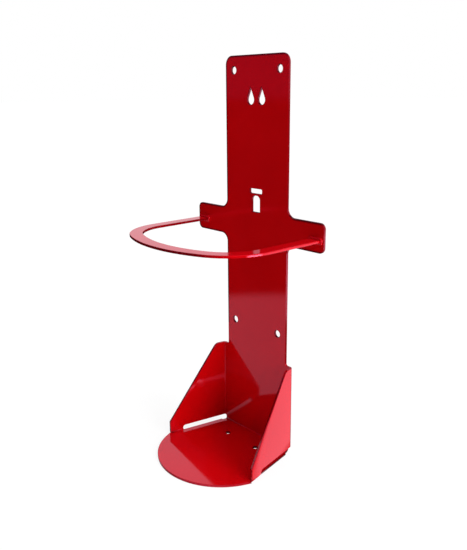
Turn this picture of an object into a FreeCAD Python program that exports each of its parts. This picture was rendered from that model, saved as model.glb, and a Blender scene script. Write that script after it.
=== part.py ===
import FreeCAD, Part
import math
import os

import Sketcher

# Wall bracket for a small fire extinguisher, in millimetres.
# One sheet is cut and folded into a tall plate with two ears, two side gussets and a base.
# A flat bar hoop is welded by its two ends to the ears and keeps the cylinder upright.
# Every piece is built with the wall plane at y = 0, forward along -Y, and then moved back
# by half of the hoop's reach, which puts the origin under the middle of the bracket.

sizes = {
    # Sheet and its folds
    "sheet_thickness": 3.0,
    "bend_inner_radius": 2.0,
    # Tall plate
    "overall_height": 461.0,
    "plate_width": 100.0,
    "plate_corner_radius": 10.0,
    "neck_radius": 2.5,
    # Ears that carry the hoop
    "ear_span": 208.0,
    "ear_height": 33.0,
    "ear_middle_height": 271.0,
    "ear_corner_radius": 6.5,
    "ear_root_radius": 10.0,
    # Wall screw holes, in two pairs
    "screw_hole_diameter": 8.5,
    "screw_spacing_across": 73.0,
    "screw_spacing_up": 298.0,
    "screw_drop_from_top": 16.0,
    # Gussets, which flare outwards from the plate
    "rear_width": 120.0,
    "flare_angle": 11.7,
    "gusset_depth": 81.0,
    "gusset_height": 110.8,
    "gusset_flat_depth": 14.0,
    "gusset_lip_height": 17.4,
    "gusset_corner_radius": 8.0,
    # Base with a round front
    "base_radius": 78.5,
    "base_centre_depth": 58.5,
    "base_hole_diameter": 6.5,
    "base_hole_spacing": 50.0,
    "base_hole_depth": 27.5,
    # Long slots along the lower corners, open at the rear, where the three folds would meet
    "slot_front_depth": 64.0,
    "slot_height": 9.0,
    "slot_end_radius": 3.5,
    "base_edge_inset": 3.0,
    "corner_relief_depth": 9.0,
    "cut_overrun": 4.0,
    # Two flame shaped openings near the top
    "flame_width": 11.0,
    "flame_height": 19.0,
    "flame_spacing": 17.5,
    "flame_middle_height": 417.0,
    # Opening in the shape of an extinguisher, with its lever above
    "symbol_width": 13.0,
    "symbol_body_height": 19.0,
    "symbol_bottom_height": 287.0,
    "symbol_shoulder_radius": 5.0,
    "symbol_gap": 2.5,
    "lever_length": 20.0,
    "lever_height": 5.5,
    "lever_corner_radius": 1.5,
    # Hoop, a flat band lying level
    "hoop_width": 200.0,
    "hoop_reach": 148.0,
    "hoop_band": 15.0,
    "hoop_thickness": 3.0,
    "hoop_top_height": 269.6,
    "hoop_corner_radius": 63.0,
    "hoop_front_radius": 155.5,
    # Fillet welds around the hoop's ends
    "weld_spread": 2.8,
    "weld_length": 2.5,
}

document = FreeCAD.newDocument("extinguisher_bracket")
sheet = document.addObject("Spreadsheet::Sheet", "Sizes")
for row, (name, value) in enumerate(sizes.items(), start=1):
    sheet.set(f"A{row}", name)
    sheet.set(f"B{row}", str(value))
    sheet.setAlias(f"B{row}", name)
document.recompute()

# Lengths that several pieces share, as expressions over the sheet
bend_outer = "(Sizes.bend_inner_radius + Sizes.sheet_thickness)"
wall_offset = "Sizes.hoop_reach / 2"
ear_bottom = "(Sizes.ear_middle_height - Sizes.ear_height / 2)"
ear_top = "(Sizes.ear_middle_height + Sizes.ear_height / 2)"
upper_hole_height = "(Sizes.overall_height - Sizes.screw_drop_from_top)"
lower_hole_height = f"({upper_hole_height} - Sizes.screw_spacing_up)"
symbol_top = "(Sizes.symbol_bottom_height + Sizes.symbol_body_height)"
lever_bottom = f"({symbol_top} + Sizes.symbol_gap)"
lever_top = f"({lever_bottom} + Sizes.lever_height)"
hoop_level = "(Sizes.hoop_top_height - Sizes.hoop_thickness)"

tolerance = 0.01
upwards = FreeCAD.Vector(0, 0, 1)


def number(expression):
    result = sheet.evalExpression(expression)
    return float(getattr(result, "Value", result))


def negative(expression):
    return f"-({expression})"


# Half of the flared width at a depth, measured at a level inset from the outer face
def half_width_at(depth, inset="0"):
    return f"(Sizes.rear_width / 2 + {depth} * tan(Sizes.flare_angle) - {inset} / cos(Sizes.flare_angle))"


def new_sketch(body, name, role):
    sketch = body.newObject("Sketcher::SketchObject", name)
    plane = next(item for item in body.Origin.OriginFeatures if item.Role == role)
    sketch.AttachmentSupport = [(plane, "")]
    sketch.MapMode = "FlatFace"
    return sketch


def bind(sketch, kind, where, expression):
    row = sketch.addConstraint(Sketcher.Constraint(kind, *where, number(expression)))
    sketch.setExpression(f"Constraints[{row}]", expression)


def place_point(sketch, geometry, point, x, y):
    bind(sketch, "DistanceX", (-1, 1, geometry, point), x)
    bind(sketch, "DistanceY", (-1, 1, geometry, point), y)


# Closed outline with straight sides, each corner bound to its place
def add_polygon(sketch, corners):
    places = [FreeCAD.Vector(number(x), number(y), 0) for x, y in corners]
    lines = [Part.LineSegment(places[i - 1], places[i]) for i in range(len(places))]
    first = sketch.addGeometry(lines, False)[0]
    for i, (x, y) in enumerate(corners):
        following = (i + 1) % len(corners)
        sketch.addConstraint(Sketcher.Constraint("Coincident", first + i, 2, first + following, 1))
        place_point(sketch, first + i, 2, x, y)


def add_rectangle(sketch, left, right, bottom, top):
    add_polygon(sketch, [(left, bottom), (right, bottom), (right, top), (left, top)])


def add_hole(sketch, x, y, diameter):
    middle = FreeCAD.Vector(number(x), number(y), 0)
    hole = sketch.addGeometry(Part.Circle(middle, upwards, number(diameter) / 2), False)
    place_point(sketch, hole, 3, x, y)
    bind(sketch, "Diameter", (hole,), diameter)


# Drop with a round foot, whose two sides run tangent to the tip
def add_drop(sketch, x, bottom, width, height):
    radius = number(width) / 2
    foot = FreeCAD.Vector(number(x), number(bottom) + radius, 0)
    tip = FreeCAD.Vector(number(x), number(bottom) + number(height), 0)
    lean = math.acos(radius / (tip.y - foot.y))
    circle = Part.Circle(foot, upwards, radius)
    arc = Part.ArcOfCircle(circle, math.pi / 2 + lean, 5 * math.pi / 2 - lean)
    sides = [Part.LineSegment(arc.EndPoint, tip), Part.LineSegment(tip, arc.StartPoint)]
    foot_arc, right_side, left_side = sketch.addGeometry([arc] + sides, False)
    sketch.addConstraint(Sketcher.Constraint("Tangent", foot_arc, 2, right_side, 1))
    sketch.addConstraint(Sketcher.Constraint("Coincident", right_side, 2, left_side, 1))
    sketch.addConstraint(Sketcher.Constraint("Tangent", left_side, 2, foot_arc, 1))
    bind(sketch, "Radius", (foot_arc,), f"{width} / 2")
    place_point(sketch, foot_arc, 3, x, f"{bottom} + {width} / 2")
    place_point(sketch, right_side, 2, x, f"{bottom} + {height}")


def add_pad(body, name, sketch, length):
    pad = body.newObject("PartDesign::Pad", name)
    pad.Profile = sketch
    pad.setExpression("Length", length)
    document.recompute()
    return pad


def add_cut_through(body, name, sketch):
    before = body.Shape.Volume
    pocket = body.newObject("PartDesign::Pocket", name)
    pocket.Profile = sketch
    pocket.Type = "ThroughAll"
    pocket.Midplane = True
    document.recompute()
    if body.Shape.Volume > before - tolerance:
        raise RuntimeError(f"{name} cuts nothing")


def edges_where(shape, chosen):
    return [f"Edge{i}" for i, edge in enumerate(shape.Edges, start=1) if chosen(edge)]


def middle_of(edge):
    return edge.valueAt((edge.FirstParameter + edge.LastParameter) / 2)


def near(value, expression):
    return abs(value - number(expression)) < tolerance


def add_fillet(body, name, radius, chosen):
    base = body.Tip
    fillet = body.newObject("PartDesign::Fillet", name)
    fillet.Base = (base, edges_where(base.Shape, chosen))
    fillet.setExpression("Radius", radius)
    document.recompute()


# Corners of the upright plate outline, as edges through the sheet at x = +-across
def at_plate_corner(edge, across, heights):
    place = middle_of(edge)
    in_sheet = near(place.y, "-Sizes.sheet_thickness / 2")
    through_sheet = near(edge.Length, "Sizes.sheet_thickness")
    level = any(near(place.z, height) for height in heights)
    return in_sheet and through_sheet and level and near(abs(place.x), across)


# Tray of gussets, rear wall and base: a flared block, rounded and hollowed to the sheet
def make_tray(body):
    outline = new_sketch(body, "TrayOutline", "XY_Plane")
    rear_half = "Sizes.rear_width / 2"
    front_half = half_width_at("Sizes.gusset_depth")
    front = negative("Sizes.gusset_depth")
    corners = [(rear_half, "0"), (negative(rear_half), "0")]
    corners += [(negative(front_half), front), (front_half, front)]
    add_polygon(outline, corners)
    add_pad(body, "TrayBlock", outline, "Sizes.gusset_height")

    def is_fold(edge):
        place = middle_of(edge)
        on_front = near(place.y, front)
        on_top = near(place.z, "Sizes.gusset_height")
        return not on_front and not on_top

    add_fillet(body, "TrayFolds", bend_outer, is_fold)
    block = body.Tip
    open_faces = []
    for i, face in enumerate(block.Shape.Faces, start=1):
        on_front = near(face.CenterOfMass.y, front)
        on_top = near(face.CenterOfMass.z, "Sizes.gusset_height")
        if on_front or on_top:
            open_faces.append(f"Face{i}")
    shell = body.newObject("PartDesign::Thickness", "TraySheet")
    shell.Base = (block, open_faces)
    shell.setExpression("Value", "Sizes.sheet_thickness")
    shell.Reversed = True
    document.recompute()


# Everything above the gussets' sloping edges is cut away
def trim_gussets(body):
    slope = new_sketch(body, "GussetSlope", "YZ_Plane")
    knee = negative("Sizes.gusset_flat_depth")
    front = negative("Sizes.gusset_depth")
    beyond = negative("Sizes.gusset_depth + Sizes.cut_overrun")
    above = "Sizes.gusset_height + Sizes.cut_overrun"
    corners = [(knee, "Sizes.gusset_height"), (front, "Sizes.gusset_lip_height")]
    corners += [(beyond, "Sizes.gusset_lip_height"), (beyond, above), (knee, above)]
    add_polygon(slope, corners)
    add_cut_through(body, "GussetTrim", slope)

    def is_knee(edge):
        place = middle_of(edge)
        return near(place.y, knee) and near(place.z, "Sizes.gusset_height")

    add_fillet(body, "GussetKnees", "Sizes.gusset_corner_radius", is_knee)


# Tall plate with its two ears, in the plane of the tray's rear wall
def add_plate(body):
    outline = new_sketch(body, "PlateOutline", "XZ_Plane")
    plate = "Sizes.plate_width / 2"
    ear = "Sizes.ear_span / 2"
    right = [(plate, bend_outer), (plate, ear_bottom), (ear, ear_bottom), (ear, ear_top)]
    right += [(plate, ear_top), (plate, "Sizes.overall_height")]
    left = [(negative(x), y) for x, y in reversed(right)]
    add_polygon(outline, right + left)
    add_pad(body, "Plate", outline, "Sizes.sheet_thickness")

    def is_top(edge):
        return at_plate_corner(edge, plate, ["Sizes.overall_height"])

    def is_ear_end(edge):
        return at_plate_corner(edge, ear, [ear_bottom, ear_top])

    def is_ear_root(edge):
        return at_plate_corner(edge, plate, [ear_bottom, ear_top])

    def is_neck(edge):
        return at_plate_corner(edge, plate, ["Sizes.gusset_height"])

    add_fillet(body, "PlateTopCorners", "Sizes.plate_corner_radius", is_top)
    add_fillet(body, "EarEnds", "Sizes.ear_corner_radius", is_ear_end)
    add_fillet(body, "EarRoots", "Sizes.ear_root_radius", is_ear_root)
    add_fillet(body, "Necks", "Sizes.neck_radius", is_neck)


# Round front of the base, from the gussets' front edges forward
def add_base_front(body):
    outline = new_sketch(body, "BaseFront", "XY_Plane")
    radius = number("Sizes.base_radius")
    centre = FreeCAD.Vector(0, -number("Sizes.base_centre_depth"), 0)
    dip = math.asin((number("Sizes.gusset_depth") + centre.y) / radius)
    circle = Part.Circle(centre, upwards, radius)
    arc = Part.ArcOfCircle(circle, math.pi + dip, 2 * math.pi - dip)
    chord = Part.LineSegment(arc.EndPoint, arc.StartPoint)
    rim, rear = outline.addGeometry([arc, chord], False)
    outline.addConstraint(Sketcher.Constraint("Coincident", rim, 2, rear, 1))
    outline.addConstraint(Sketcher.Constraint("Coincident", rear, 2, rim, 1))
    outline.addConstraint(Sketcher.Constraint("Horizontal", rear))
    bind(outline, "Radius", (rim,), "Sizes.base_radius")
    place_point(outline, rim, 3, "0", negative("Sizes.base_centre_depth"))
    bind(outline, "DistanceY", (-1, 1, rear, 1), negative("Sizes.gusset_depth"))
    add_pad(body, "BaseFrontPad", outline, "Sizes.sheet_thickness")


def cut_holes(body):
    wall_holes = new_sketch(body, "WallHoles", "XZ_Plane")
    across = "Sizes.screw_spacing_across / 2"
    for height in (upper_hole_height, lower_hole_height):
        for x in (across, negative(across)):
            add_hole(wall_holes, x, height, "Sizes.screw_hole_diameter")
    add_cut_through(body, "WallHoleCut", wall_holes)
    base_holes = new_sketch(body, "BaseHoles", "XY_Plane")
    across = "Sizes.base_hole_spacing / 2"
    for x in (across, negative(across)):
        add_hole(base_holes, x, negative("Sizes.base_hole_depth"), "Sizes.base_hole_diameter")
    add_cut_through(body, "BaseHoleCut", base_holes)


# Openings in the plate: two flames near the top, and an extinguisher with its lever
def cut_symbols(body):
    symbols = new_sketch(body, "Symbols", "XZ_Plane")
    across = "Sizes.flame_spacing / 2"
    bottom = "(Sizes.flame_middle_height - Sizes.flame_height / 2)"
    for x in (across, negative(across)):
        add_drop(symbols, x, bottom, "Sizes.flame_width", "Sizes.flame_height")
    half = "Sizes.symbol_width / 2"
    add_rectangle(symbols, negative(half), half, "Sizes.symbol_bottom_height", symbol_top)
    lever = "Sizes.lever_length / 2"
    add_rectangle(symbols, negative(lever), lever, lever_bottom, lever_top)
    add_cut_through(body, "SymbolCut", symbols)

    def is_shoulder(edge):
        return at_plate_corner(edge, half, [symbol_top])

    def is_lever_corner(edge):
        return at_plate_corner(edge, lever, [lever_bottom, lever_top])

    add_fillet(body, "SymbolShoulders", "Sizes.symbol_shoulder_radius", is_shoulder)
    add_fillet(body, "LeverCorners", "Sizes.lever_corner_radius", is_lever_corner)


# Bar that clears the fold between the base and the right gusset, and runs out at the rear
def make_slot_cutter():
    body = document.addObject("PartDesign::Body", "SlotCutter")
    bar = body.newObject("PartDesign::AdditiveBox", "SlotBar")
    top = "Sizes.slot_height + Sizes.cut_overrun"
    bar.setExpression("Length", f"{bend_outer} + Sizes.cut_overrun")
    bar.setExpression("Width", "Sizes.slot_front_depth / cos(Sizes.flare_angle) + Sizes.cut_overrun")
    bar.setExpression("Height", top)
    document.recompute()

    # Local y = 0 is the slot's front end and local x = 0 its side towards the base
    def is_round(edge):
        place = middle_of(edge)
        inside = near(place.x, "0")
        at_front = near(place.y, "0")
        on_top = near(place.z, top)
        return (inside and at_front) or (at_front and on_top) or (inside and on_top)

    add_fillet(body, "SlotEnd", "Sizes.slot_end_radius", is_round)
    body.Placement = FreeCAD.Placement(FreeCAD.Vector(), FreeCAD.Rotation(upwards, 1))
    outer = half_width_at("Sizes.slot_front_depth")
    across = f"{outer} - {bend_outer} * cos(Sizes.flare_angle)"
    back = f"-Sizes.slot_front_depth - {bend_outer} * sin(Sizes.flare_angle)"
    body.setExpression("Placement.Rotation.Angle", "Sizes.flare_angle")
    body.setExpression("Placement.Base.x", across)
    body.setExpression("Placement.Base.y", back)
    body.setExpression("Placement.Base.z", "-Sizes.cut_overrun")
    return body


def make_slot_cutters():
    right = make_slot_cutter()
    left = document.addObject("Part::Mirroring", "SlotCutterLeft")
    left.Source = right
    left.Normal = FreeCAD.Vector(1, 0, 0)
    both = document.addObject("Part::MultiFuse", "SlotCutters")
    both.Shapes = [right, left]
    return both


# Flat part of the base beside the slots, which reaches further out than the fold
def make_base_edges():
    body = document.addObject("PartDesign::Body", "BaseEdges")
    outline = new_sketch(body, "BaseEdgeOutline", "XY_Plane")
    rear = negative("Sizes.corner_relief_depth")
    front = negative("Sizes.slot_front_depth")
    rear_half = half_width_at("Sizes.corner_relief_depth", "Sizes.base_edge_inset")
    front_half = half_width_at("Sizes.slot_front_depth", "Sizes.base_edge_inset")
    inner_half = half_width_at("Sizes.corner_relief_depth", f"2 * {bend_outer}")
    for side in ("1", "-1"):
        corners = [(rear_half, rear), (inner_half, rear), (inner_half, front), (front_half, front)]
        add_polygon(outline, [(f"{side} * {x}", y) for x, y in corners])
    add_pad(body, "BaseEdgePad", outline, "Sizes.sheet_thickness")
    return body


def make_bracket_sheet():
    body = document.addObject("PartDesign::Body", "FoldedSheet")
    make_tray(body)
    trim_gussets(body)
    add_plate(body)
    add_base_front(body)
    cut_holes(body)
    cut_symbols(body)
    slotted = document.addObject("Part::Cut", "SlottedSheet")
    slotted.Base = body
    slotted.Tool = make_slot_cutters()
    result = document.addObject("Part::MultiFuse", "BracketSheet")
    result.Shapes = [slotted, make_base_edges()]
    result.Refine = True
    result.setExpression("Placement.Base.y", wall_offset)
    document.recompute()
    return result


# D-shaped outline: straight rear and legs, round corners and a bowed front, all tangent
def add_hoop_outline(sketch, inset):
    half_width = f"(Sizes.hoop_width / 2 - {inset})"
    reach = f"(Sizes.hoop_reach - {inset})"
    corner_radius = f"(Sizes.hoop_corner_radius - {inset})"
    front_radius = f"(Sizes.hoop_front_radius - {inset})"
    rear = -number("Sizes.sheet_thickness")
    side = number(half_width)
    corner = number(corner_radius)
    bow = number(front_radius)
    bow_middle = FreeCAD.Vector(0, bow - number(reach), 0)
    swing = math.asin((side - corner) / (bow - corner))
    drop = (bow - corner) * math.cos(swing)
    right_middle = FreeCAD.Vector(side - corner, bow_middle.y - drop, 0)
    left_middle = FreeCAD.Vector(corner - side, bow_middle.y - drop, 0)
    low = 3 * math.pi / 2
    right_circle = Part.Circle(right_middle, upwards, corner)
    left_circle = Part.Circle(left_middle, upwards, corner)
    right_corner = Part.ArcOfCircle(right_circle, low + swing, 2 * math.pi)
    front = Part.ArcOfCircle(Part.Circle(bow_middle, upwards, bow), low - swing, low + swing)
    left_corner = Part.ArcOfCircle(left_circle, math.pi, low - swing)
    rear_right = FreeCAD.Vector(side, rear, 0)
    rear_left = FreeCAD.Vector(-side, rear, 0)
    pieces = [
        Part.LineSegment(rear_right, rear_left),
        Part.LineSegment(rear_left, left_corner.StartPoint),
        left_corner,
        front,
        right_corner,
        Part.LineSegment(right_corner.EndPoint, rear_right),
    ]
    back, left, turn_left, bowed, turn_right, right = sketch.addGeometry(pieces, False)
    sketch.addConstraint(Sketcher.Constraint("Coincident", back, 2, left, 1))
    sketch.addConstraint(Sketcher.Constraint("Tangent", left, 2, turn_left, 1))
    sketch.addConstraint(Sketcher.Constraint("Tangent", turn_left, 2, bowed, 1))
    sketch.addConstraint(Sketcher.Constraint("Tangent", bowed, 2, turn_right, 1))
    sketch.addConstraint(Sketcher.Constraint("Tangent", turn_right, 2, right, 1))
    sketch.addConstraint(Sketcher.Constraint("Coincident", right, 2, back, 1))
    sketch.addConstraint(Sketcher.Constraint("Vertical", left))
    sketch.addConstraint(Sketcher.Constraint("Vertical", right))
    sketch.addConstraint(Sketcher.Constraint("Equal", turn_left, turn_right))
    bind(sketch, "Radius", (turn_left,), corner_radius)
    bind(sketch, "Radius", (bowed,), front_radius)
    place_point(sketch, bowed, 3, "0", f"{front_radius} - {reach}")
    place_point(sketch, back, 1, half_width, "-Sizes.sheet_thickness")
    place_point(sketch, back, 2, negative(half_width), "-Sizes.sheet_thickness")


def make_hoop():
    body = document.addObject("PartDesign::Body", "Hoop")
    outer = new_sketch(body, "HoopOutside", "XY_Plane")
    add_hoop_outline(outer, "0")
    add_pad(body, "HoopPlate", outer, "Sizes.hoop_thickness")
    inner = new_sketch(body, "HoopInside", "XY_Plane")
    add_hoop_outline(inner, "Sizes.hoop_band")
    add_cut_through(body, "HoopOpening", inner)
    body.setExpression("Placement.Base.y", wall_offset)
    body.setExpression("Placement.Base.z", hoop_level)
    return body


# Weld bead round one end of the hoop, sloping from the ear to the band at 45 degrees
def make_weld(name, side):
    body = document.addObject("PartDesign::Body", name)
    foot = new_sketch(body, name + "Foot", "XZ_Plane")
    across = "(Sizes.hoop_band / 2 + Sizes.weld_spread)"
    upright = "(Sizes.hoop_thickness / 2 + Sizes.weld_spread)"
    add_rectangle(foot, negative(across), across, negative(upright), upright)
    bead = add_pad(body, name + "Bead", foot, "Sizes.weld_length")
    bead.TaperAngle = -45
    band = new_sketch(body, name + "Band", "XZ_Plane")
    across = "Sizes.hoop_band / 2"
    upright = "Sizes.hoop_thickness / 2"
    add_rectangle(band, negative(across), across, negative(upright), upright)
    add_cut_through(body, name + "BandCut", band)
    body.setExpression("Placement.Base.x", f"{side} * (Sizes.hoop_width - Sizes.hoop_band) / 2")
    body.setExpression("Placement.Base.y", f"{wall_offset} - Sizes.sheet_thickness")
    body.setExpression("Placement.Base.z", f"{hoop_level} + Sizes.hoop_thickness / 2")
    return body


nodes = {
    "bracket_sheet": make_bracket_sheet(),
    "hoop": make_hoop(),
    "hoop_weld_left": make_weld("WeldLeft", -1),
    "hoop_weld_right": make_weld("WeldRight", 1),
}
for name, node in nodes.items():
    node.Label = name
document.recompute()

for item in document.Objects:
    if "Invalid" in item.State or "Error" in item.State:
        raise RuntimeError(f"{item.Name} did not build: {item.State}")
os.makedirs("parts", exist_ok=True)
for name, node in nodes.items():
    shape = node.Shape
    if shape.isNull() or not shape.isValid():
        raise RuntimeError(f"{name} has no valid shape")
    box = shape.BoundBox
    print(name, len(shape.Solids), "solid", round(shape.Volume, 1), "mm3")
    print("  from", [round(c, 2) for c in (box.XMin, box.YMin, box.ZMin)])
    print("  to", [round(c, 2) for c in (box.XMax, box.YMax, box.ZMax)])
    shape.exportStep(f"parts/{name}.step")
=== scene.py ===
import math

import bmesh
import bpy
from mathutils import Matrix, Vector
from mathutils.bvhtree import BVHTree


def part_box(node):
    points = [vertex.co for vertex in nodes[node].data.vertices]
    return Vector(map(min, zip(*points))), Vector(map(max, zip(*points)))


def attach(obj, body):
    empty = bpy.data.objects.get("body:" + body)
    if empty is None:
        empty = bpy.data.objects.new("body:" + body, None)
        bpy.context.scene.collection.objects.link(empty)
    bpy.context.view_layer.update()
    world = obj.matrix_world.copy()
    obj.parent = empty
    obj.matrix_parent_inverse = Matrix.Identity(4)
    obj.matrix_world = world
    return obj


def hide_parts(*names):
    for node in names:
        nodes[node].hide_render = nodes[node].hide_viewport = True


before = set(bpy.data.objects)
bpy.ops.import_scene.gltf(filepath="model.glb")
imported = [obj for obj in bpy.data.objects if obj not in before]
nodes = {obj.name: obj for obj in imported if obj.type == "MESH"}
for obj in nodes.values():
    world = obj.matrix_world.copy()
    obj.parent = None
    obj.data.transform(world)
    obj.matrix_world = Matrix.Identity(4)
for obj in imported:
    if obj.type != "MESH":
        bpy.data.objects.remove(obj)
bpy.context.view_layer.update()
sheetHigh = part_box("bracket_sheet")[1]
hoopLow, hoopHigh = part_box("hoop")
weldLow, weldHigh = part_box("hoop_weld_right")
print("frame loaded:", ", ".join(sorted(nodes)))


# Small helpers for node trees

def newMaterial(name):
    material = bpy.data.materials.new(name)
    material.use_nodes = True
    material.node_tree.nodes.clear()
    return material, material.node_tree


def addNode(tree, kind, **values):
    node = tree.nodes.new(kind)
    for key, value in values.items():
        setattr(node, key, value)
    return node


def setInputs(node, **values):
    for key, value in values.items():
        node.inputs[key.replace("_", " ")].default_value = value


def joinNodes(tree, source, sourceName, target, targetName):
    tree.links.new(source.outputs[sourceName], target.inputs[targetName])


def linkNoise(tree, coordinates, scale, detail, roughness=0.5):
    noise = addNode(tree, "ShaderNodeTexNoise")
    setInputs(noise, Scale=scale, Detail=detail, Roughness=roughness)
    tree.links.new(coordinates, noise.inputs["Vector"])
    return noise.outputs["Fac"]


def remap(tree, source, fromLow, fromHigh, toLow, toHigh):
    node = addNode(tree, "ShaderNodeMapRange")
    values = (fromLow, fromHigh, toLow, toHigh)
    for socket, value in zip(("From Min", "From Max", "To Min", "To Max"), values):
        node.inputs[socket].default_value = value
    tree.links.new(source, node.inputs["Value"])
    return node.outputs["Result"]


def combine(tree, operation, first, second=0.0):
    node = addNode(tree, "ShaderNodeMath", operation=operation)
    for socket, value in zip(node.inputs, (first, second)):
        if isinstance(value, (int, float)):
            socket.default_value = value
        else:
            tree.links.new(value, socket)
    return node.outputs[0]


def axisParts(tree, vector):
    parts = addNode(tree, "ShaderNodeSeparateXYZ")
    tree.links.new(vector, parts.inputs[0])
    return parts.outputs


def mixColours(tree, share, first, second):
    node = addNode(tree, "ShaderNodeMix", data_type="RGBA")
    tree.links.new(share, node.inputs[0])
    for socket, value in zip(node.inputs[6:8], (first, second)):
        if isinstance(value, tuple):
            socket.default_value = value
        else:
            tree.links.new(value, socket)
    return node.outputs[2]


# Painted shade: a darker rim follows the outline of the plate and the ears, where their
# edges lie out of the light, apart from the right-hand edges and what lies low. The
# outline is that of two rounded rectangles, with a fillet where they meet
rimShadeSizes = {
    "plateMiddle": 0.1805,   # a height; this rectangle reaches below the base, out of the way
    "plateHalfAcross": 0.050,
    "plateCorner": 0.010,
    "earsMiddle": 0.271,
    "earsHalfHeight": 0.0165,
    "earsCorner": 0.0065,
    "rootRadius": 0.010,
    "fadeStart": -0.0010,    # distance from the outline, below zero inside it
    "fadeEnd": -0.0028,
    "tolerance": 0.0003,     # how far outside it the rim still counts
    "lowest": 0.14,
    "rightShift": 0.003,     # carries the rim off the right-hand edges, which lie in light
}


def cornerLength(tree, first, second):
    squares = []
    for value in (first, second):
        squares.append(combine(tree, "POWER", combine(tree, "MAXIMUM", value, 0.0), 2.0))
    return combine(tree, "SQRT", combine(tree, "ADD", *squares))


# How far outside a rounded rectangle a point lies, below zero when it is inside
def outlineDistance(tree, across, height, middle, halfAcross, halfHeight, radius):
    besideBy = combine(tree, "SUBTRACT", across, halfAcross - radius)
    offset = combine(tree, "ABSOLUTE", combine(tree, "SUBTRACT", height, middle))
    aboveBy = combine(tree, "SUBTRACT", offset, halfHeight - radius)
    outside = cornerLength(tree, besideBy, aboveBy)
    inside = combine(tree, "MINIMUM", combine(tree, "MAXIMUM", besideBy, aboveBy), 0.0)
    return combine(tree, "SUBTRACT", combine(tree, "ADD", outside, inside), radius)


# The same for two outlines joined with a fillet
def filletedDistance(tree, first, second, radius):
    depths = [combine(tree, "SUBTRACT", radius, value) for value in (first, second)]
    nearer = combine(tree, "MAXIMUM", combine(tree, "MINIMUM", first, second), radius)
    return combine(tree, "SUBTRACT", nearer, cornerLength(tree, *depths))


# Share of painted shade along the outline of the plate and the ears
def rimShadeShare(tree, coordinates):
    parts = axisParts(tree, coordinates)
    leftward = combine(tree, "MULTIPLY", parts["X"], -1.0)
    rightward = combine(tree, "SUBTRACT", parts["X"], rimShadeSizes["rightShift"])
    across = combine(tree, "MAXIMUM", leftward, rightward)
    height = parts["Z"]
    plate = outlineDistance(
        tree, across, height, rimShadeSizes["plateMiddle"], rimShadeSizes["plateHalfAcross"],
        sheetHigh.z - rimShadeSizes["plateMiddle"], rimShadeSizes["plateCorner"],
    )
    ears = outlineDistance(
        tree, across, height, rimShadeSizes["earsMiddle"], sheetHigh.x,
        rimShadeSizes["earsHalfHeight"], rimShadeSizes["earsCorner"],
    )
    distance = filletedDistance(tree, plate, ears, rimShadeSizes["rootRadius"])
    share = remap(tree, distance, rimShadeSizes["fadeEnd"], rimShadeSizes["fadeStart"], 0.0, 1.0)
    onPlate = combine(tree, "LESS_THAN", distance, rimShadeSizes["tolerance"])
    highEnough = combine(tree, "GREATER_THAN", height, rimShadeSizes["lowest"])
    return combine(tree, "MULTIPLY", share, combine(tree, "MULTIPLY", onPlate, highEnough))


# Red powder coat: saturated red under a smooth skin, with a faint orange peel and
# slightly uneven gloss where the powder flowed thicker or thinner
coatSizes = {
    "deepRed": (0.57, 0.0007, 0.0026, 1),
    "thinRed": (0.63, 0.0012, 0.0036, 1),
    # painted shade: the dark red of the shaded cut faces and outline rim
    "paintedShadeRed": (0.10, 0.0006, 0.0032, 1),
    "refraction": 1.5,
    "flakeShare": 0.15,
    "glossTint": (1.0, 0.45, 0.8, 1),
    "glossLevel": 0.75,
    "flowNoise": (9.0, 3.0, 0.55),       # scale, detail and roughness
    "flowRange": (0.35, 0.65),
    "glossNoise": (26.0, 4.0, 0.6),
    "glossRange": (0.3, 0.7),
    "roughness": (0.055, 0.085),
    "peelNoise": (420.0, 1.5),           # bumps of about 2.4 mm
    "peelHeight": 0.0000035,
    "grainNoise": (2600.0, 1.0),
    "grainHeight": 0.0000005,
}


def addBump(tree, coordinates, kind):
    bump = addNode(tree, "ShaderNodeBump")
    setInputs(bump, Strength=1.0, Distance=coatSizes[kind + "Height"])
    noise = linkNoise(tree, coordinates, *coatSizes[kind + "Noise"])
    tree.links.new(noise, bump.inputs["Height"])
    return bump


def makeRedCoat():
    material, tree = newMaterial("redPowderCoat")
    coordinates = addNode(tree, "ShaderNodeTexCoord").outputs["Object"]
    shader = addNode(tree, "ShaderNodeBsdfPrincipled")
    shader.inputs["IOR"].default_value = coatSizes["refraction"]
    shader.inputs["Metallic"].default_value = coatSizes["flakeShare"]
    shader.inputs["Specular IOR Level"].default_value = coatSizes["glossLevel"]
    shader.inputs["Specular Tint"].default_value = coatSizes["glossTint"]

    flow = linkNoise(tree, coordinates, *coatSizes["flowNoise"])
    flowed = remap(tree, flow, *coatSizes["flowRange"], 0.0, 1.0)
    colour = mixColours(tree, flowed, coatSizes["deepRed"], coatSizes["thinRed"])
    # Painted shade: cut faces and the outline's rim that lie out of the light turn dark red
    cutShadeMask = addNode(tree, "ShaderNodeAttribute", attribute_name="cutFaceShade").outputs["Fac"]
    paintedShadeMask = combine(tree, "MAXIMUM", cutShadeMask, rimShadeShare(tree, coordinates))
    colour = mixColours(tree, paintedShadeMask, colour, coatSizes["paintedShadeRed"])
    tree.links.new(colour, shader.inputs["Base Color"])

    gloss = linkNoise(tree, coordinates, *coatSizes["glossNoise"])
    rough = remap(tree, gloss, *coatSizes["glossRange"], *coatSizes["roughness"])
    tree.links.new(rough, shader.inputs["Roughness"])

    grain = addBump(tree, coordinates, "grain")
    peel = addBump(tree, coordinates, "peel")
    joinNodes(tree, grain, "Normal", peel, "Normal")
    joinNodes(tree, peel, "Normal", shader, "Normal")
    joinNodes(tree, shader, "BSDF", addNode(tree, "ShaderNodeOutputMaterial"), "Surface")
    return material


redCoat = makeRedCoat()
print("red coat made")


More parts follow.
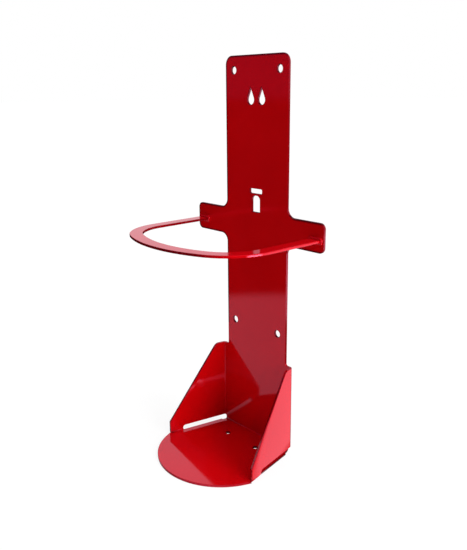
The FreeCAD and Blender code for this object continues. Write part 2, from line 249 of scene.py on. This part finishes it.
# Cut sheet and band: the solid's own shape with its sharp edges softened, as the coat
# flows round them
softEdge = {
    "sheetWidth": 0.0005,
    "hoopWidth": 0.0006,
    "segments": 3,
    "sharpAngle": math.radians(38),
    "flatAngle": math.radians(0.4),
    "mergeDistance": 0.000002,
    "flatWeight": 100,
    "lowHeight": 0.14,       # below this the edges take lowShare of the width
    "lowShare": 0.6,
    "footHeight": 0.022,     # and below this none, among the tight cuts, but for the base's front
    "baseHeight": 0.004,
    "baseFront": -0.012,
}

# Share of painted shade, a darker red, on the cut faces
cutFaceShade = {
    "sheetThickness": sheetHigh.y - hoopHigh.y,    # the band ends at the ears' front face
    "rayStart": 0.00002,
    "openDepth": 1.0,        # taken where a ray meets nothing
    "depthStart": 0.00003,   # how far beyond the sheet's thickness a face starts to count
    "depthRange": 0.00005,
    "lowShare": 0.4,
    "rightShare": 0.7,
    "rightFacing": 0.7,
    "hoopShare": 0.87,
    "hoopFade": (0.055, 0.085),
}


def clamp(value):
    return min(1.0, max(0.0, value))


def plainMesh(piece):
    evaluated = piece.evaluated_get(bpy.context.evaluated_depsgraph_get())
    piece.data = bpy.data.meshes.new_from_object(evaluated)
    piece.modifiers.clear()


# A point well inside each face: the middle of its largest triangle
def faceMiddles(mesh):
    largest = {}
    mesh.calc_loop_triangles()
    for triangle in mesh.loop_triangles:
        face = triangle.polygon_index
        if face not in largest or triangle.area > largest[face].area:
            largest[face] = triangle
    corners = [vertex.co for vertex in mesh.vertices]
    return [
        sum((corners[index] for index in largest[face].vertices), Vector()) / 3
        for face in range(len(mesh.polygons))
    ]


# A broad face has the sheet's other side one thickness behind it; a cut face doesn't.
# Cut faces get painted shade, less when low or facing right into the light, and on the band less
# towards the right
def paintCutFaceShade(mesh, highShare=1.0, fade=None):
    corners = [vertex.co for vertex in mesh.vertices]
    tree = BVHTree.FromPolygons(corners, [polygon.vertices for polygon in mesh.polygons])
    values = []
    for polygon, middle in zip(mesh.polygons, faceMiddles(mesh)):
        inward = -polygon.normal
        depth = tree.ray_cast(middle + inward * cutFaceShade["rayStart"], inward)[3]
        if depth is None:
            depth = cutFaceShade["openDepth"]
        extra = depth - cutFaceShade["sheetThickness"] - cutFaceShade["depthStart"]
        share = highShare
        if middle.z < softEdge["lowHeight"]:
            share = cutFaceShade["lowShare"]
        elif polygon.normal.x > cutFaceShade["rightFacing"]:
            share = cutFaceShade["rightShare"]
        if fade:
            share *= clamp((fade[1] - middle.x) / (fade[1] - fade[0]))
        values.append(share * clamp(extra / cutFaceShade["depthRange"]))
    layer = mesh.attributes.new("cutFaceShade", "FLOAT", "FACE")
    layer.data.foreach_set("value", values)


def edgeShare(ends):
    lowest = min(end.z for end in ends)
    if lowest > softEdge["lowHeight"]:
        return 1.0
    onBase = max(end.z for end in ends) < softEdge["baseHeight"]
    inFront = max(end.y for end in ends) < softEdge["baseFront"]
    if lowest > softEdge["footHeight"] or (onBase and inFront):
        return softEdge["lowShare"]
    return 0.0


def edgedMesh(nodeName, pieceName):
    mesh = bmesh.new()
    mesh.from_mesh(nodes[nodeName].data)
    bmesh.ops.remove_doubles(mesh, verts=mesh.verts, dist=softEdge["mergeDistance"])
    angle = softEdge["flatAngle"]
    bmesh.ops.dissolve_limit(mesh, angle_limit=angle, verts=mesh.verts, edges=mesh.edges)
    weights = mesh.edges.layers.float.new("bevel_weight_edge")
    for edge in mesh.edges:
        if edge.calc_face_angle() > softEdge["sharpAngle"]:
            edge[weights] = edgeShare([vertex.co for vertex in edge.verts])
    data = bpy.data.meshes.new(pieceName)
    mesh.to_mesh(data)
    mesh.free()
    data.materials.clear()
    data.materials.append(redCoat)
    data.shade_smooth()
    return data


def declarePiece(piece, nodeName):
    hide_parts(nodeName)
    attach(piece, "root")


def softenNode(nodeName, pieceName, width):
    piece = bpy.data.objects.new(pieceName, edgedMesh(nodeName, pieceName))
    bpy.context.scene.collection.objects.link(piece)
    bevel = piece.modifiers.new("softEdges", "BEVEL")
    bevel.width = width
    bevel.segments = softEdge["segments"]
    bevel.limit_method = "WEIGHT"
    bevel.use_clamp_overlap = False
    flat = piece.modifiers.new("flatFaces", "WEIGHTED_NORMAL")
    flat.mode = "FACE_AREA"
    flat.weight = softEdge["flatWeight"]
    plainMesh(piece)
    declarePiece(piece, nodeName)
    return piece.data


sheetMesh = softenNode("bracket_sheet", "foldedSheet", softEdge["sheetWidth"])
hoopMesh = softenNode("hoop", "hoopBand", softEdge["hoopWidth"])
# Painted shade on the cut faces of the sheet and the band
paintCutFaceShade(sheetMesh)
paintCutFaceShade(hoopMesh, cutFaceShade["hoopShare"], cutFaceShade["hoopFade"])
print("sheet and hoop edges softened:", len(sheetMesh.polygons), len(hoopMesh.polygons), "faces")


# Weld beads: overlapping drops laid round the band's end where it meets the ear
bandThickness = hoopHigh.z - hoopLow.z
weldSpread = (weldHigh.z - weldLow.z - bandThickness) / 2
beadForward = 0.0004         # how far in front of the ear the drops' middles lie
weldBead = {
    "Band Width": weldHigh.x - weldLow.x - 2 * weldSpread,
    "Band Thickness": bandThickness,
    "Band Middle Across": (weldLow.x + weldHigh.x) / 2,
    "Band Middle Height": (hoopLow.z + hoopHigh.z) / 2,
    "Bead Depth": hoopHigh.y - beadForward,
    "Bead Offset": 0.0007,
    "Bead Radius": 0.0018,
    "Bead Spacing": 0.0013,
    "Bead Unevenness": 0.12,
    "Drop Detail": 3,
    "Corner Points": 4,
    "Seed": 5,
}


def weldInputs(tree):
    for name, value in weldBead.items():
        kind = "NodeSocketInt" if isinstance(value, int) else "NodeSocketFloat"
        tree.interface.new_socket(name, in_out="INPUT", socket_type=kind)
    tree.interface.new_socket("Side", in_out="INPUT", socket_type="NodeSocketFloat")
    tree.interface.new_socket("Coat", in_out="INPUT", socket_type="NodeSocketMaterial")
    tree.interface.new_socket("Geometry", in_out="OUTPUT", socket_type="NodeSocketGeometry")
    return addNode(tree, "NodeGroupInput").outputs


# Points along a loop round the band's end, drawn lying flat
def beadPoints(tree, given):
    doubled = combine(tree, "MULTIPLY", given["Bead Offset"], 2.0)
    loop = addNode(tree, "GeometryNodeCurvePrimitiveQuadrilateral")
    tree.links.new(combine(tree, "ADD", given["Band Width"], doubled), loop.inputs["Width"])
    tree.links.new(combine(tree, "ADD", given["Band Thickness"], doubled), loop.inputs["Height"])
    rounded = addNode(tree, "GeometryNodeFilletCurve", mode="POLY")
    tree.links.new(given["Corner Points"], rounded.inputs["Count"])
    tree.links.new(given["Bead Offset"], rounded.inputs["Radius"])
    joinNodes(tree, loop, "Curve", rounded, "Curve")
    steps = addNode(tree, "GeometryNodeCurveToPoints", mode="LENGTH")
    joinNodes(tree, rounded, "Curve", steps, "Curve")
    tree.links.new(given["Bead Spacing"], steps.inputs["Length"])
    return steps


def layDrops(tree, given, steps):
    drop = addNode(tree, "GeometryNodeMeshIcoSphere")
    tree.links.new(given["Drop Detail"], drop.inputs["Subdivisions"])
    tree.links.new(given["Bead Radius"], drop.inputs["Radius"])
    smooth = addNode(tree, "GeometryNodeSetShadeSmooth")
    joinNodes(tree, drop, "Mesh", smooth, "Geometry")
    uneven = addNode(tree, "FunctionNodeRandomValue", data_type="FLOAT")
    tree.links.new(combine(tree, "SUBTRACT", 1.0, given["Bead Unevenness"]), uneven.inputs[2])
    uneven.inputs[3].default_value = 1.0
    tree.links.new(given["Seed"], uneven.inputs["Seed"])
    laid = addNode(tree, "GeometryNodeInstanceOnPoints")
    joinNodes(tree, steps, "Points", laid, "Points")
    joinNodes(tree, smooth, "Geometry", laid, "Instance")
    tree.links.new(uneven.outputs[1], laid.inputs["Scale"])
    return laid


# Stands the laid loop up against the ear on the given side
def standUp(tree, given, laid):
    middle = addNode(tree, "ShaderNodeCombineXYZ")
    across = combine(tree, "MULTIPLY", given["Side"], given["Band Middle Across"])
    tree.links.new(across, middle.inputs["X"])
    tree.links.new(given["Bead Depth"], middle.inputs["Y"])
    tree.links.new(given["Band Middle Height"], middle.inputs["Z"])
    stood = addNode(tree, "GeometryNodeTransform")
    stood.inputs["Rotation"].default_value = (math.radians(90), 0, 0)
    joinNodes(tree, laid, "Instances", stood, "Geometry")
    joinNodes(tree, middle, "Vector", stood, "Translation")
    return stood


def makeWeldTree():
    tree = bpy.data.node_groups.new("weldBead", "GeometryNodeTree")
    given = weldInputs(tree)
    stood = standUp(tree, given, layDrops(tree, given, beadPoints(tree, given)))
    real = addNode(tree, "GeometryNodeRealizeInstances")
    joinNodes(tree, stood, "Geometry", real, "Geometry")
    coated = addNode(tree, "GeometryNodeSetMaterial")
    joinNodes(tree, real, "Geometry", coated, "Geometry")
    tree.links.new(given["Coat"], coated.inputs["Material"])
    joinNodes(tree, coated, "Geometry", addNode(tree, "NodeGroupOutput"), "Geometry")
    return tree


def addWeld(tree, side, nodeName, pieceName):
    piece = bpy.data.objects.new(pieceName, bpy.data.meshes.new(pieceName))
    bpy.context.scene.collection.objects.link(piece)
    bead = piece.modifiers.new("weldBead", "NODES")
    bead.node_group = tree
    values = dict(weldBead, Side=side, Coat=redCoat)
    for socket in tree.interface.items_tree:
        if socket.in_out == "INPUT":
            bead[socket.identifier] = values[socket.name]
    plainMesh(piece)
    declarePiece(piece, nodeName)


weldTree = makeWeldTree()
addWeld(weldTree, -1.0, "hoop_weld_left", "weldBeadLeft")
addWeld(weldTree, 1.0, "hoop_weld_right", "weldBeadRight")
print("weld beads laid")


# Camera, from the place and angles that the photograph's perspective gives
cameraView = {
    "place": (0.5510, -0.4553, 0.4218),
    "azimuth": 48.29,
    "downwards": 15.42,
    "roll": -0.476,
    "focalPixels": 665.0,
    "imageHeight": 550,
    "sensorSize": 36,
    "clipEnd": 60,
}


def addCamera():
    data = bpy.data.cameras.new("photoCamera")
    data.sensor_width = cameraView["sensorSize"]
    data.lens = cameraView["focalPixels"] * cameraView["sensorSize"] / cameraView["imageHeight"]
    data.clip_end = cameraView["clipEnd"]
    camera = bpy.data.objects.new("photoCamera", data)
    bpy.context.scene.collection.objects.link(camera)
    turn = Matrix.Rotation(math.radians(cameraView["azimuth"]), 4, "Z")
    tilt = Matrix.Rotation(math.radians(90 - cameraView["downwards"]), 4, "X")
    roll = Matrix.Rotation(math.radians(cameraView["roll"]), 4, "Z")
    camera.matrix_world = Matrix.Translation(cameraView["place"]) @ turn @ tilt @ roll
    bpy.context.scene.camera = camera


addCamera()
print("camera placed")


# Studio: pale floor and soft lamps. Mirror rays see surroundings of their own: a bright
# pool of floor round the object, a strip of light beyond it on the right, and a sky that
# is bright on the right and behind. The compass is in degrees from +X, counter-clockwise
studio = {
    "floorSide": 60.0,
    "floorDrop": 0.0002,
    "floorColour": 0.86,
    "floorCameraColour": 0.16,           # the camera sees the shadow only faintly
    "floorCameraLift": 0.865,
    "skyFill": 0.287,
    "suns": {                            # energy, compass, height, then spread
        "rightSun": (2.95, 0, 15, 40),
        "behindSun": (0.80, 30, 60, 40),
        "topSun": (0.87, 0, 90, 40),
    },
    "poolRound": (                       # compass, then strength, here and below
        (-180, 0.57), (-125, 0.57), (-90, 0.3), (-60, 0.6), (-30, 1.2), (60, 1.2),
        (110, 1.0), (150, 0.3), (180, 0.57),
    ),
    "poolEdge": (0.535, 0.585),          # distance from the origin over which it ends
    "poolSlope": (0.912, -0.41, 0),      # and the direction in which it ends much sooner
    "poolSlopeEdge": (0.064, 0.082),
    "shadeAcross": (0.065, 0.072),       # the floor under the foot and behind it is shaded
    "shadeFront": (-0.035, -0.020),
    "shadeLevel": 0.1,
    "stripRound": (
        (-180, 0.0), (-9, 0.0), (-5, 8.0), (17, 8.0), (23, 1.5), (60, 1.5), (70, 0.0), (180, 0.0),
    ),
    "stripEnd": (1.45, 1.60),            # beyond this it would whiten the side views
    "stripFar": 0.04,
    "skyRound": (
        (-180, 0.04), (-100, 0.04), (-60, 0.3), (-40, 0.6), (60, 0.6), (137, 0.35),
        (139.5, 1.0), (150, 1.0), (162, 0.1), (180, 0.04),
    ),
    "skyHeight": ((0.0, 1.0), (0.60, 1.0), (0.72, 0.05)),    # the direction's Z, then strength
    "skyDark": (0.01, 0.01, 0.06, 1),
}


def ramp(tree, source, stops):
    node = addNode(tree, "ShaderNodeValToRGB")
    elements = node.color_ramp.elements
    elements[0].position = stops[0][0]
    elements[1].position = stops[-1][0]
    for position, value in stops[1:-1]:
        elements.new(position)
    for element, (position, value) in zip(elements, stops):
        element.color = (value, value, value, 1)
    tree.links.new(source, node.inputs["Fac"])
    return node.outputs["Color"]


def compassRamp(tree, direction, stops):
    parts = axisParts(tree, direction)
    angle = combine(tree, "ARCTAN2", parts["Y"], parts["X"])
    share = remap(tree, angle, -math.pi, math.pi, 0.0, 1.0)
    return ramp(tree, share, [((degrees + 180) / 360, value) for degrees, value in stops])


def cameraShare(tree, rays):
    return combine(tree, "MAXIMUM", rays["Is Camera Ray"], rays["Is Transmission Ray"])


# The plain shader, or the mirrored one where a glossy ray asks
def mixByRay(tree, rays, plain, mirrored, output):
    byRay = addNode(tree, "ShaderNodeMixShader")
    tree.links.new(rays["Is Glossy Ray"], byRay.inputs[0])
    tree.links.new(plain.outputs[0], byRay.inputs[1])
    tree.links.new(mirrored.outputs[0], byRay.inputs[2])
    tree.links.new(byRay.outputs[0], addNode(tree, output).inputs["Surface"])


def addLitFloor(tree, rays):
    paper = addNode(tree, "ShaderNodeBsdfDiffuse")
    lift = addNode(tree, "ShaderNodeEmission")
    lift.inputs["Color"].default_value = (1, 1, 1, 1)
    seen = cameraShare(tree, rays)
    grey = remap(tree, seen, 0.0, 1.0, studio["floorColour"], studio["floorCameraColour"])
    tree.links.new(grey, paper.inputs["Color"])
    strength = combine(tree, "MULTIPLY", seen, studio["floorCameraLift"])
    tree.links.new(strength, lift.inputs["Strength"])
    both = addNode(tree, "ShaderNodeAddShader")
    tree.links.new(paper.outputs[0], both.inputs[0])
    tree.links.new(lift.outputs[0], both.inputs[1])
    return both


def addMirroredFloor(tree):
    place = addNode(tree, "ShaderNodeTexCoord").outputs["Object"]
    length = addNode(tree, "ShaderNodeVectorMath", operation="LENGTH")
    tree.links.new(place, length.inputs[0])
    distance = length.outputs["Value"]
    near = remap(tree, distance, *studio["poolEdge"], 1.0, 0.0)
    slope = addNode(tree, "ShaderNodeVectorMath", operation="DOT_PRODUCT")
    slope.inputs[1].default_value = studio["poolSlope"]
    tree.links.new(place, slope.inputs[0])
    right = remap(tree, slope.outputs["Value"], *studio["poolSlopeEdge"], 1.0, 0.0)
    pool = combine(tree, "MULTIPLY", near, compassRamp(tree, place, studio["poolRound"]))
    pool = combine(tree, "MULTIPLY", pool, right)

    parts = axisParts(tree, place)
    across = combine(tree, "ABSOLUTE", parts["X"])
    beside = remap(tree, across, *studio["shadeAcross"], 1.0, 0.0)
    behind = remap(tree, parts["Y"], *studio["shadeFront"], 0.0, 1.0)
    close = combine(tree, "MULTIPLY", beside, behind)
    shade = remap(tree, close, 0.0, 1.0, 1.0, studio["shadeLevel"])
    pool = combine(tree, "MULTIPLY", pool, shade)

    far = combine(tree, "SUBTRACT", 1.0, near)
    strip = combine(tree, "MULTIPLY", far, compassRamp(tree, place, studio["stripRound"]))
    ending = remap(tree, distance, *studio["stripEnd"], 1.0, studio["stripFar"])
    strip = combine(tree, "MULTIPLY", strip, ending)
    mirrored = addNode(tree, "ShaderNodeEmission")
    mirrored.inputs["Color"].default_value = (1, 1, 1, 1)
    tree.links.new(combine(tree, "ADD", pool, strip), mirrored.inputs["Strength"])
    return mirrored


def addFloor():
    material, tree = newMaterial("paleFloor")
    rays = addNode(tree, "ShaderNodeLightPath").outputs
    plain = addLitFloor(tree, rays)
    mixByRay(tree, rays, plain, addMirroredFloor(tree), "ShaderNodeOutputMaterial")
    half = studio["floorSide"] / 2
    corners = [(-half, -half, 0), (half, -half, 0), (half, half, 0), (-half, half, 0)]
    data = bpy.data.meshes.new("floor")
    data.from_pydata(corners, [], [(0, 1, 2, 3)])
    data.materials.append(material)
    floor = bpy.data.objects.new("floor", data)
    floor.location.z = -studio["floorDrop"]
    bpy.context.scene.collection.objects.link(floor)


def addSun(name, energy, compass, height, spread):
    data = bpy.data.lights.new(name, "SUN")
    data.energy = energy
    data.angle = math.radians(spread)
    lamp = bpy.data.objects.new(name, data)
    turn = Matrix.Rotation(math.radians(compass), 4, "Z")
    lamp.matrix_world = turn @ Matrix.Rotation(math.radians(90 - height), 4, "Y")
    lamp.visible_glossy = False
    bpy.context.scene.collection.objects.link(lamp)


def addWorld():
    world = bpy.data.worlds.new("studioWorld")
    world.use_nodes = True
    tree = world.node_tree
    tree.nodes.clear()
    rays = addNode(tree, "ShaderNodeLightPath").outputs
    direction = addNode(tree, "ShaderNodeTexCoord").outputs["Generated"]
    around = compassRamp(tree, direction, studio["skyRound"])
    upward = ramp(tree, axisParts(tree, direction)["Z"], studio["skyHeight"])
    bright = combine(tree, "MULTIPLY", around, upward)
    colour = mixColours(tree, bright, studio["skyDark"], (1, 1, 1, 1))
    mirrored = addNode(tree, "ShaderNodeBackground")
    tree.links.new(colour, mirrored.inputs["Color"])

    plain = addNode(tree, "ShaderNodeBackground")
    plain.inputs["Color"].default_value = (1, 1, 1, 1)
    strength = remap(tree, cameraShare(tree, rays), 0.0, 1.0, studio["skyFill"], 1.0)
    tree.links.new(strength, plain.inputs["Strength"])
    mixByRay(tree, rays, plain, mirrored, "ShaderNodeOutputWorld")
    bpy.context.scene.world = world


addFloor()
for name, sun in studio["suns"].items():
    addSun(name, *sun)
addWorld()
bpy.context.scene.view_settings.view_transform = "Standard"
print("studio lit")

bpy.context.view_layer.update()
